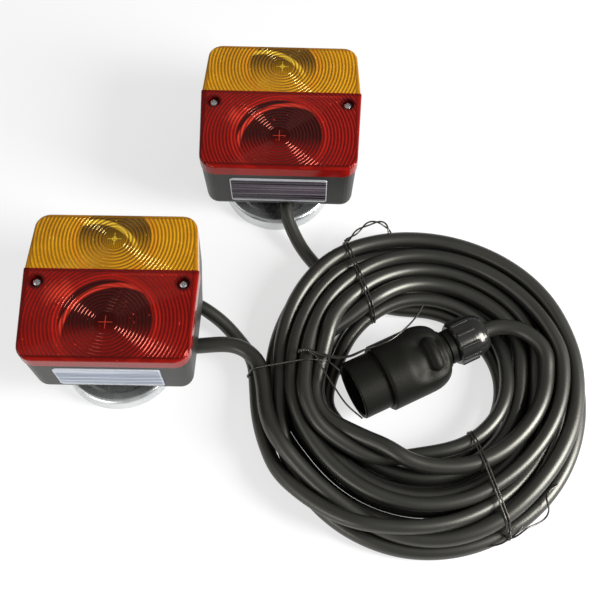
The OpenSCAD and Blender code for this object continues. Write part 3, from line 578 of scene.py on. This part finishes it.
# %% The tree that sweeps a circle along lines
def sweep_tree():
    """The node tree, and the identifier of each of its inputs."""
    group = bpy.data.node_groups.new("sweep", "GeometryNodeTree")
    group.is_modifier = True
    sockets = {}
    for name, kind in (("Lines", "Geometry"), ("Radius", "Float"), ("Sides", "Int"),
                       ("Material", "Material")):
        made = group.interface.new_socket(name, in_out="INPUT", socket_type="NodeSocket" + kind)
        sockets[name] = made.identifier
    group.interface.new_socket("Tubes", in_out="OUTPUT", socket_type="NodeSocketGeometry")
    nodes = Nodes(group)

    def marked(curve, what):
        """A curve that carries one of its spline parameters, and that parameter."""
        made = nodes.node("GeometryNodeCaptureAttribute", None, {"Geometry": curve}).socket.node
        made.capture_items.new("FLOAT", what)
        nodes.feed(made.inputs[what], nodes.node("GeometryNodeSplineParameter", output=what))
        return Value(nodes, made.outputs["Geometry"]), Value(nodes, made.outputs[what])

    given = nodes.node("NodeGroupInput")
    lines, along_it = marked(
        nodes.node("GeometryNodeMeshToCurve", None, {"Mesh": given.other("Lines")}), "Length")
    section, around = marked(
        nodes.node("GeometryNodeCurvePrimitiveCircle", None,
                   {"Resolution": given.other("Sides"), "Radius": given.other("Radius")}),
        "Factor")
    tubes = nodes.node("GeometryNodeCurveToMesh", None,
                       {"Curve": lines, "Profile Curve": section, "Fill Caps": True})
    # One face of each ring runs from near 1 back to 0. Its corners at 0 count as 1.
    middle = nodes.node("GeometryNodeFieldOnDomain", {"domain": "FACE"}, {"Value": around})
    wraps = middle.math("GREATER_THAN", middle - around, 0.25)
    chart = nodes.node("ShaderNodeCombineXYZ", None, [along_it, around + wraps])
    tubes = nodes.node("GeometryNodeStoreNamedAttribute",
                       {"data_type": "FLOAT2", "domain": "CORNER"},
                       {"Geometry": tubes, "Name": "UVMap", "Value": chart})
    for kind in ("GeometryNodeSetShadeSmooth", "GeometryNodeRealizeInstances"):
        tubes = nodes.node(kind, None, {"Geometry": tubes})
    tubes = nodes.node("GeometryNodeSetMaterial", None,
                       {"Geometry": tubes, "Material": given.other("Material")})
    nodes.node("NodeGroupOutput", None, [tubes])
    return group, sockets


SWEEP, SWEEP_INPUTS = sweep_tree()
print("sweep tree:", len(SWEEP.nodes), "nodes, inputs", SWEEP_INPUTS)


# %% The leads as tubes
def tube(name, lines, diameter, finish, sides=16):
    """Closed round tubes along lines in millimetres, as one plain mesh."""
    points = np.vstack(lines) * MM
    edges, first = [], 0
    for line in lines:
        edges += [(first + i, first + i + 1) for i in range(len(line) - 1)]
        first += len(line)
    drawn = bpy.data.meshes.new(name + "_lines")
    drawn.from_pydata(points.tolist(), edges, [])
    piece = added(name, drawn)
    modifier = piece.modifiers.new("sweep", "NODES")
    modifier.node_group = SWEEP
    for key, value in (("Radius", diameter / 2 * MM), ("Sides", sides),
                       ("Material", finish.material)):
        modifier[SWEEP_INPUTS[key]] = value
    swept = piece.evaluated_get(bpy.context.evaluated_depsgraph_get())
    mesh = bpy.data.meshes.new_from_object(swept)
    piece.modifiers.remove(modifier)
    piece.data = mesh
    bpy.data.meshes.remove(drawn)
    mesh.name = name
    mesh.uv_layers.active = mesh.uv_layers["UVMap"]
    print(name, len(mesh.vertices), "points, finish", [m.name for m in mesh.materials])
    return piece


main_lead = tube("main_lead", [main_line], MAIN_D, lead_black)
link_lead = tube("link_lead", [link_line], LINK_D, lead_black)
for piece in (main_lead, link_lead):
    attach(piece, "root")
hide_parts("main_lead_lamp_end", "main_lead_plug_end", "cable_coil")
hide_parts("link_lead_left_end", "link_lead_upper_end")


# %% [markdown]
# The plug's body is a turned shell. Its profile runs from the mouth back over the rounded end
# to the neck, and through the bore to the mouth again. Eased steps press a shallow hollow into
# each side, and a raised thumb grip with round edges stands in it.

# %% The plug's body
SHELL_SIDES = 168
NECK_R, ROUND_R, ROUND_X, ROUND_LONG = 12.5, 9, 47, 15
BODY_R = NECK_R + ROUND_R
SEAL_X, GLAND_BORE, BORE = 64.0, 8.5, 5.2
HOLLOW_DEPTH = 3.8
GRIP_X, GRIP_HALF, GRIP_R, GRIP_TURN, GRIP_BASE = 51.5, 8.6, 4.7, math.radians(164), 16.8


def plug_shell():
    """The shell as one closed mesh."""
    row = [(19, 18.7), (19, 20.7), (19.8, BODY_R)]
    row += [(x, BODY_R) for x in np.arange(21.5, 37, 1.5)]
    row += [(x, NECK_R + ROUND_R * math.sqrt(1 - (max(x - ROUND_X, 0) / ROUND_LONG) ** 2))
            for x in np.arange(37, 58, 0.6)]
    row += [(ROUND_X + ROUND_LONG * math.sin(a), NECK_R + ROUND_R * math.cos(a))
            for a in np.radians(np.arange(48, 90, 5))]
    shaped = len(row)
    row += [(62, NECK_R), (63.6, NECK_R), (63.6, 10), (65.4, 10), (65.4, 11), (73.4, 11),
            (74, 10.4), (74, GLAND_BORE), (SEAL_X, GLAND_BORE), (SEAL_X, BORE), (35, BORE),
            (29.2, 14.5), (29.2, 18.7)]
    x, r = [np.array(c)[:, None] * np.ones(SHELL_SIDES) for c in zip(*row)]
    a = np.linspace(0, 2 * math.pi, SHELL_SIDES, endpoint=False)[None] * np.ones(x.shape)
    across = np.abs((a - GRIP_TURN + math.pi / 2) % math.pi - math.pi / 2) * BODY_R
    hollow = eased(x, 33, 46) * eased(-x, -63, -56) * eased(-across, -19, -9)
    off = np.hypot(x - GRIP_X, np.maximum(across - GRIP_HALF, 0))
    grip = GRIP_BASE + np.sqrt(np.maximum(GRIP_R ** 2 - off ** 2, 0))
    raised = np.maximum(r - HOLLOW_DEPTH * hollow, np.where(off > GRIP_R, 0, grip))
    r = np.where(np.arange(len(row))[:, None] < shaped, raised, r)
    side, up = np.array([math.sin(PLUG_TURN), -math.cos(PLUG_TURN), 0]), np.array([0, 0, 1.0])
    points = (PLUG_MOUTH + x[..., None] * PLUG_WAY
              + r[..., None] * (np.sin(a)[..., None] * side - np.cos(a)[..., None] * up))

    def number(ring, k):
        return ring % len(row) * SHELL_SIDES + k % SHELL_SIDES

    faces = [(number(i, k), number(i + 1, k), number(i + 1, k + 1), number(i, k + 1))
             for i in range(len(row)) for k in range(SHELL_SIDES)]
    mesh = bpy.data.meshes.new("plug_shell")
    mesh.from_pydata((points.reshape(-1, 3) * MM).tolist(), [], faces)
    mesh.polygons.foreach_set("use_smooth", [1 < i // SHELL_SIDES < shaped - 1
                                             for i in range(len(faces))])
    print("plug shell", len(faces), "faces")
    return added("plug_shell", mesh)


shell = plug_shell()
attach(shell, "root")
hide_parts("plug_body")

# %% The leads' lengths
print("cords:", round(length_of(main_line), 3), "m and", round(length_of(link_line), 3), "m")


# %% [markdown]
# Three wire ties hold the coil. A tie's wire is drawn tight round the strands: the strands that
# cross its plane give round sections, and the wire follows their convex hull. Two of the ties are
# doubled. The ends are twisted into a knot, and run out as loose tails.

# %% The ties
WIRE_D = 1.1


def crossings(inner, outer):
    """Where the leads cross a tie's plane: distance along the tie, height and radius."""
    long = np.linalg.norm(outer - inner)
    way = (outer - inner) / long
    side = np.array([-way[1], way[0]])
    found = []
    for line, radius in ((main_line, MAIN_D / 2), (link_line, LINK_D / 2)):
        off = (line[:, :2] - inner) @ side
        for i in np.where(off[:-1] * off[1:] < 0)[0]:
            t = off[i] / (off[i] - off[i + 1])
            p = line[i] * (1 - t) + line[i + 1] * t
            s = (p[:2] - inner) @ way
            step = line[i + 1] - line[i]
            square = abs((step / np.linalg.norm(step))[:2] @ side)
            if -8 < s < long + 8 and square > 0.35:
                found.append((s, p[2], radius))
    return way, side, found


def hull(points):
    """The corners of the convex hull of points in a plane, anticlockwise."""
    points = sorted(map(tuple, points))

    def left_of(a, b, p):
        """More than 0 where p lies to the left of the way from a to b."""
        return (b[0] - a[0]) * (p[1] - a[1]) - (b[1] - a[1]) * (p[0] - a[0])

    def half(row):
        chain = []
        for p in row:
            while len(chain) > 1 and left_of(chain[-2], chain[-1], p) <= 0:
                chain.pop()
            chain.append(p)
        return chain[:-1]

    return np.array(half(points) + half(points[::-1]))


def wrap(inner, outer, spread):
    """Two wires side by side, drawn round the strands between two points of the coil."""
    way, side, found = crossings(np.array(inner, float), np.array(outer, float))
    a = np.linspace(0, 2 * math.pi, 32, endpoint=False)
    ring = hull([(s + (r + WIRE_D / 2) * math.cos(x), z + (r + WIRE_D / 2) * math.sin(x))
                 for s, z, r in found for x in a])
    start = int(ring[:, 1].argmin())
    ring = np.vstack([ring[start:], ring[:start + 1]])
    path = np.stack([inner[0] + ring[:, 0] * way[0], inner[1] + ring[:, 0] * way[1],
                     np.maximum(ring[:, 1], 0.6)], 1)
    path = along(path, 1.6)
    t = np.linspace(0, 1, len(path))[:, None]
    apart = 0.62 + spread * np.sin(math.pi * t) ** 2 * (1 + 0.4 * np.sin(9 * t))
    print("tie round", len(found), "strands,", round(len(path) * 1.6), "mm")
    return [path + apart * [*side, 0], path - apart * [*side, 0]]


def twisted(points, radius, pitch, start=0.0):
    """Two wires twisted round a line through points."""
    line = curved(np.array(points, float), 0.8, 1)
    way = np.gradient(line, axis=0)
    way /= np.linalg.norm(way, axis=1)[:, None]
    up = np.cross(way, [0.2, 0.1, 1])
    up /= np.linalg.norm(up, axis=1)[:, None]
    turn = (start + 2 * math.pi * np.arange(len(line)) * 0.8 / pitch)[:, None]
    off = radius * (np.cos(turn) * up + np.sin(turn) * np.cross(way, up))
    return [line + off, line - off]


def bent(points):
    """One wire through points."""
    return curved(np.array(points, float), 1.2, 1)


top_tie = tube("top_tie", [
    *wrap((111.5, -65.3), (91.6, -8.6), 0.55),
    *twisted([(92.6, -11.5, 13), (92.2, -8, 17), (92.6, -5.2, 19.5), (94.6, -3.8, 20.5)],
             0.85, 3.2),
    *twisted([(93.2, -8.5, 21), (91.4, -7.2, 19), (92.3, -5.4, 17.6), (94.2, -6, 18)],
             0.7, 2.6, 1.3),
    *twisted([(93.7, -4.8, 20), (97.6, -2.2, 22.5), (102.5, 1.2, 25), (107.4, 3.8, 27),
              (112.7, 4.7, 28), (117.2, 3.9, 27.6), (120.4, 1.2, 26), (121.9, -2.4, 24.4)],
             0.95, 19, 0.6)], WIRE_D, tie_metal, 8)
left_tie = tube("left_tie", [
    *wrap((87.5, -92.4), (28.8, -94.6), 0.3)[:1],
    *twisted([(61.5, -89.2, 33), (66.2, -88.2, 33.2), (70.5, -89.4, 33)], 0.7, 3.4),
    bent([(69, -89.1, 33), (74.8, -90.5, 33), (83, -92.2, 31.5), (92, -92.2, 31.8),
          (101.5, -89.6, 35.6), (110.6, -88.2, 40.2), (118.4, -84.6, 40.6), (125.4, -78.4, 39),
          (132, -70.8, 36), (136.6, -64.2, 34.6), (139.6, -58.6, 34)]),
    bent([(68.5, -88.9, 33.4), (75.5, -91.9, 33.2), (84, -93.4, 31.9), (93, -92.9, 32.6),
          (100.5, -90.6, 35.8), (104, -89.2, 38)]),
    bent([(68, -89.4, 33.2), (72.3, -92.6, 33.2), (75.9, -100.1, 32.6), (81.9, -109.8, 31.4),
          (90.2, -122.6, 30.4), (100.1, -130.7, 27)])], WIRE_D, tie_metal, 8)
front_tie = tube("front_tie", [
    *wrap((166.3, -142.2), (184.9, -196.6), 0.5),
    *twisted([(184.6, -196.2, 15), (185.2, -198.2, 12.6), (184.2, -199.6, 10.6)], 0.85, 3.0),
    bent([(184.4, -199.2, 11), (181.8, -201, 9.4), (178, -202.2, 8.6), (173.4, -202.9, 8),
          (169.8, -203.2, 7), (167.4, -202.8, 6.2)]),
    bent([(184.8, -199.2, 11.4), (188.2, -198.4, 12.4), (191.6, -196.4, 13.6), (195.8, -193.4, 14),
          (201.5, -190.8, 12.6), (206.4, -188, 12), (209, -184.8, 13), (209.6, -181.4, 14),
          (208.8, -177.4, 14), (209.8, -173, 13), (213.3, -169.4, 12), (217.5, -166.8, 11)]),
    bent([(185, -198.8, 11), (187.6, -197.6, 12.6), (190.2, -195.4, 13.6),
          (192.9, -192.6, 13.8)])], WIRE_D, tie_metal, 8)
for piece, node in ((top_tie, "tie_top"), (left_tie, "tie_left"), (front_tie, "tie_front")):
    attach(piece, "root")
    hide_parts(node)


# %% [markdown]
# The lamps' finishes need to know where they are on a lamp. Both lamps are the same mould, so
# one set of shader sums turns a point into millimetres across and along the nearer lamp.

# %% Where a point is on its lamp
def on_lamp(f):
    """Millimetres right of and behind the nearer lamp's middle, height, and which lamp it is."""
    x, y, z = f.parts(f.place())
    upper = y.between(-0.001, 0.001)
    places = []
    for (px, py), yaw in ((LEFT_PLACE, LEFT_YAW), (UPPER_PLACE, UPPER_YAW)):
        c, s = math.cos(yaw), math.sin(yaw)
        places.append((x * (1000 * c) + y * (1000 * s) - (px * c + py * s),
                       y * (1000 * c) - x * (1000 * s) - (py * c - px * s)))
    (u0, v0), (u1, v1) = places
    return u0 + (u1 - u0) * upper, v0 + (v1 - v0) * upper, z * 1000, upper


def reach(u, v):
    """How far a point is from the middle."""
    return (u * u + v * v) ** 0.5


# %% Lenses: rings of ridges, painted shade of the bowl seen through them, bulb's disc, borders
FLUTE_STEP, STRIPE_STEP, TICK_STEP = 2.2, 1.15, 1.5
OPTIC_R = 7.0
BORDER_U, BORDER_V = 49.0, 45.7
FACE_Z = (70.2, 71.2)


def lens_finish(name, plain, line, deep, edge_and_reflection, bright, glow, tint, middle, bowl_r, fade, reflection_arc,
                striped):
    """A lens from its colours, its bowl with painted shade, and an arc of painted reflection."""
    f = Finish(name)
    u, v, z, _ = on_lamp(f)
    dv = v - middle
    r = reach(u, dv)
    face = z.between(*FACE_Z)
    outside = r.between(OPTIC_R - 0.2, OPTIC_R + 0.2)
    panel = (u.size().between(BORDER_U + 0.3, BORDER_U - 0.3)
             * v.size().between(BORDER_V + 0.3, BORDER_V - 0.3))
    flutes = (r - OPTIC_R).wave(FLUTE_STEP)
    cloud, patch = f.noise(130, 4, 0.6), f.noise(48, 3, 0.55).between(0.42, 0.66)

    # Plain colour, a painted glow round the bowl, and painted highlight and shadow on the red face.
    colour = f.mix(cloud * 0.4 + patch * 0.25, plain, line)
    colour = f.mix(r.near(bowl_r + 2.4, 3.2, 0.6) * face * 0.55, colour, glow)
    if not striped:
        shine = reach(u + 26, dv - 17).between(17, 3) * patch
        colour = f.mix(shine * 0.7 * face, colour, bright)
        shadow = dv.between(-7, -19) * u.size().between(36, 12)
        colour = f.mix(shadow * 0.5 * face, colour, line)

    # Painted shade in the bowl, fading to the front, with a room lamp's painted reflection arc.
    bowl_shade = r.between(bowl_r + 0.8, bowl_r - 0.8) * dv.between(*fade) * face * v.between(47.6, 46.8)
    (arc_u, arc_v), arc_r, arc_wide = reflection_arc
    lit = reach(u - arc_u, dv - arc_v).near(arc_r, arc_wide, arc_wide * 0.35)
    colour = f.mix(bowl_shade * (1 - lit) * 0.96, colour, deep)
    colour = f.mix(bowl_shade * lit * 0.7, colour, bright)

    # The flutes: a line on each crest, and painted glints between the crests.
    ring = flutes.between(0.5, 1) * outside * panel
    colour = f.mix(ring * face * 0.6, colour, line)
    glint = f.noise(300, 2, 0.6).between(0.66, 0.74) * (flutes * -1).between(0.2, 0.9)
    colour = f.mix(glint * face * 0.8, colour, bright)

    # The disc in the middle: a cross, and stripes with a small ring on the indicator's lens.
    bars = u.size().between(0.32, 0.18) * dv.size().between(4.3, 3.9)
    bars = bars + dv.size().between(0.32, 0.18) * u.size().between(4.3, 3.9)
    if striped:
        stripes = u.wave(STRIPE_STEP).between(0, 0.8) * (1 - outside)
        colour = f.mix(stripes * 0.7, colour, deep)
        bars = bars + r.near(1.2, 0.4, 0.2)
    colour = f.mix(bars * 0.55, colour, bright)

    # The red lens: screw wells, and moulded ticks along the colours' step, painted as bright
    # glints.
    if not striped:
        screw = reach(u.size() - 43.5, v - 1.8)
        colour = f.mix(screw.between(5.6, 4.9) * 0.85, colour, edge_and_reflection)
        ticks = u.wave(TICK_STEP).between(0, 0.7) * v.near(7.2, 0.7, 0.3)
        colour = f.mix(ticks * u.near(20, 20, 19) * 0.5, colour, bright)
        colour = f.mix(v.near(9.2, 1.2, 0.5) * 0.55, colour, edge_and_reflection)

    # The border: a dark line round the fluted panel, and the plain edge outside it.
    trim = u.size().near(BORDER_U, 0.9, 0.3) + v.size().near(BORDER_V, 0.9, 0.3)
    colour = f.mix(trim * face * 0.55, colour, edge_and_reflection)
    if striped:
        colour = f.mix((1 - panel) * 0.5, colour, line)
    else:
        # A painted dark reflection along the red lens's front edge.
        front = v.between(-47.4, -46) * u.between(47, 44)
        colour = f.mix((1 - panel) * front * 0.7, colour, edge_and_reflection)
    ridges = flutes * outside * face * panel * (0.68 - r / 160)
    f.set(Base_Color=colour, Roughness=cloud * 0.05 + 0.1, Transmission_Weight=0.35, IOR=1.49,
          Normal=f.bump(ridges + f.noise(700, 2) * 0.02, 0.00055),
          Specular_IOR_Level=0.5, Specular_Tint=tint)
    print(name, len(f.tree.nodes), "nodes")
    return f


# Several of these colours are painted light: glow, shade, highlights, glints and reflections.
amber = lens_finish(
    "amber_plastic", plain=(0.78, 0.37, 0.009), line=(0.34, 0.13, 0.005),
    deep=(0.085, 0.042, 0.005), edge_and_reflection=(0.26, 0.09, 0.005), bright=(0.98, 0.68, 0.06),
    glow=(0.72, 0.24, 0.005), tint=(1.0, 0.8, 0.3), middle=31.0, bowl_r=22.0, fade=(-15, 8),
    reflection_arc=((-12, -16), 27.6, 2.2), striped=True)
red = lens_finish(
    "red_plastic", plain=(0.34, 0.008, 0.005), line=(0.11, 0.003, 0.003),
    deep=(0.014, 0.002, 0.002), edge_and_reflection=(0.07, 0.003, 0.003), bright=(0.9, 0.06, 0.03),
    glow=(0.56, 0.016, 0.008), tint=(1.0, 0.25, 0.18), middle=-24.0, bowl_r=27.5, fade=(-16, 1),
    reflection_arc=((6, -8), 32.0, 2.0), striped=False)


# %% Windows: clear plastic with bars across
def window_finish():
    """Clear plastic, painted bright on the left lamp and painted dim on the upper one."""
    f = Finish("clear_plastic")
    u, _, z, upper = on_lamp(f)
    bars = z.wave(2.8).between(-0.2, 0.9)
    stretched = f.node("ShaderNodeVectorMath", {"operation": "MULTIPLY"},
                       [f.place(), (5.0, 0.0, 420.0)])
    streak = f.noise(1.0, 3.0, at=stretched)
    # The two lamps' windows are painted lit and painted dim copies of one plastic.
    painted_lit = f.mix(bars, (0.4, 0.44, 0.52), (0.22, 0.25, 0.31))
    painted_lit = f.mix(streak.between(0.5, 0.68) * 0.8, painted_lit, (0.74, 0.78, 0.84))
    painted_dim = f.mix(streak.between(0.4, 0.68), (0.02, 0.018, 0.02), (0.17, 0.14, 0.17))
    painted_dim = f.mix(bars * 0.25, painted_dim, (0.26, 0.22, 0.27))
    rim = u.size().near(31.0, 0.45, 0.2) + z.near(43.5, 11.9, 12.2)
    colour = f.mix(rim * 0.55, f.mix(upper, painted_lit, painted_dim), (0.8, 0.82, 0.86))
    f.set(Base_Color=colour, Roughness=streak * 0.1 + 0.08, Transmission_Weight=0.3, IOR=1.49,
          Normal=f.bump(bars, 0.00015), Specular_IOR_Level=0.4)
    return f


clear = window_finish()


# %% Magnet cups: bright zinc with faint turned rings, and a dull blue-grey dish of painted shade
def zinc_finish():
    """Zinc with turned rings round the middle of the magnet."""
    f = Finish("zinc_plate")
    u, v, _, _ = on_lamp(f)
    r = reach(u - 2.5, v - 15)
    cloud = f.noise(70, 5, 0.65)
    rings = f.noise(2.2, 3.0, at=f.node("ShaderNodeCombineXYZ", None, [r, 0.0, 0.0]))
    # The dish is painted shade and a painted dark reflection of the lamp above.
    dish_shade = r.between(33.5, 30.5)
    colour = f.mix(cloud, (0.5, 0.52, 0.53), (0.8, 0.81, 0.8))
    colour = f.mix(dish_shade * 0.8, colour, f.mix(cloud, (0.14, 0.16, 0.16), (0.5, 0.54, 0.54)))
    f.set(Base_Color=colour, Metallic=0.9 - dish_shade * 0.35, Roughness=cloud * 0.25 + 0.16,
          Normal=f.bump(rings * 0.6 + f.noise(900, 3) * 0.3, 0.00008))
    return f


zinc = zinc_finish()

# %% Dress the pieces
dress(housing_black, *both("housing", "foot_spacer", "bulb_sockets"))
dress(seal_black, *both("lens_seal", "grommets"), "gland_seal")
dress(block_cream, *both("terminal_block"))
dress(ferrite_grey, *both("magnet_ring"))
dress(tray_bright, *both("reflector"))
dress(zinc, *both("magnet_cup", "foot_washer", "foot_nut"))
dress(steel, *both("foot_bolt", "lens_screws"))
dress(glass, *both("indicator_bulb", "tail_bulb"))
dress(clear, *both("plate_window"))
dress(amber, *both("amber_lens"))
dress(red, *both("red_lens"))
dress(plug_grey, "plug_shell", "plug_sleeve", "contact_carrier")
dress(nut_black, "gland_nut")
dress(brass, "plug_contacts")
print("finishes:", len(bpy.data.materials))


# %% [markdown]
# A white floor and a white world give the even light of a studio. One strong lamp at the right
# draws the long highlights on the leads, and two weak ones light the other sides. The floor is a
# mix: rays that look at it see it glow in part, which keeps it white and its shadows light, and
# the light that it throws on the pieces is that of a plain white floor.

# %% The floor
FLOOR_REACH, FLOOR_GLOW = 20, 0.66
corners = [(x * FLOOR_REACH, y * FLOOR_REACH, 0) for x, y in ((-1, -1), (1, -1), (1, 1), (-1, 1))]
floor_mesh = bpy.data.meshes.new("floor")
floor_mesh.from_pydata(corners, [], [(0, 1, 2, 3)])
floor = added("floor", floor_mesh)
white = Finish("floor_white").set(Base_Color=(0.86, 0.86, 0.86), Roughness=0.8)
ray = white.node("ShaderNodeLightPath")
looks, mirrors, passes = [ray.other(f"Is {kind} Ray")
                          for kind in ("Camera", "Glossy", "Transmission")]
glow = white.node("ShaderNodeEmission", None, {"Color": (1.0, 1.0, 1.0), "Strength": 1.0})
surface = white.node("ShaderNodeMixShader", None,
                     {0: (looks + mirrors + passes) * FLOOR_GLOW,
                      1: Value(white, white.shader.outputs[0]), 2: glow})
white.feed(white.tree.nodes["Material Output"].inputs["Surface"], surface)
floor.data.materials.append(white.material)
print("floor:", FLOOR_REACH * 2, "m wide")


# %% The lamps of the studio
def soft_lamp(name, place, target, size, power):
    """A lamp with a rectangle of light, turned to a target."""
    data = bpy.data.lights.new(name, "AREA")
    data.shape, data.energy = "RECTANGLE", power
    data.size, data.size_y = size
    lamp = added(name, data)
    lamp.location = place
    lamp.rotation_euler = (Vector(target) - Vector(place)).to_track_quat("-Z", "Y").to_euler()


soft_lamp("key", (0.92, -0.3, 0.52), (0.08, -0.05, 0), (0.36, 0.62), 23)
soft_lamp("fill", (-0.95, -0.3, 0.75), (0.06, -0.04, 0), (0.8, 0.8), 2.2)
soft_lamp("front", (-0.42, -0.72, 0.3), (-0.04, -0.08, 0.03), (0.4, 0.3), 1.9)
print("lamps:", [light.name for light in bpy.data.lights])

# %% The world: full white for rays that look at it, and weaker as light on the pieces
WORLD_LIGHT = 0.32
world = bpy.data.worlds.new("studio")
bpy.context.scene.world = world
world.use_nodes = True
sky = Nodes(world.node_tree)
seen = sky.node("ShaderNodeLightPath", output="Is Camera Ray")
background = sky.tree.nodes["Background"]
sky.feed(background.inputs["Color"], (1, 1, 1))
sky.feed(background.inputs["Strength"],
         sky.node("ShaderNodeMapRange", None, {"Value": seen, "To Min": WORLD_LIGHT}))
bpy.context.scene.view_settings.view_transform = "Standard"
print("world light:", WORLD_LIGHT)
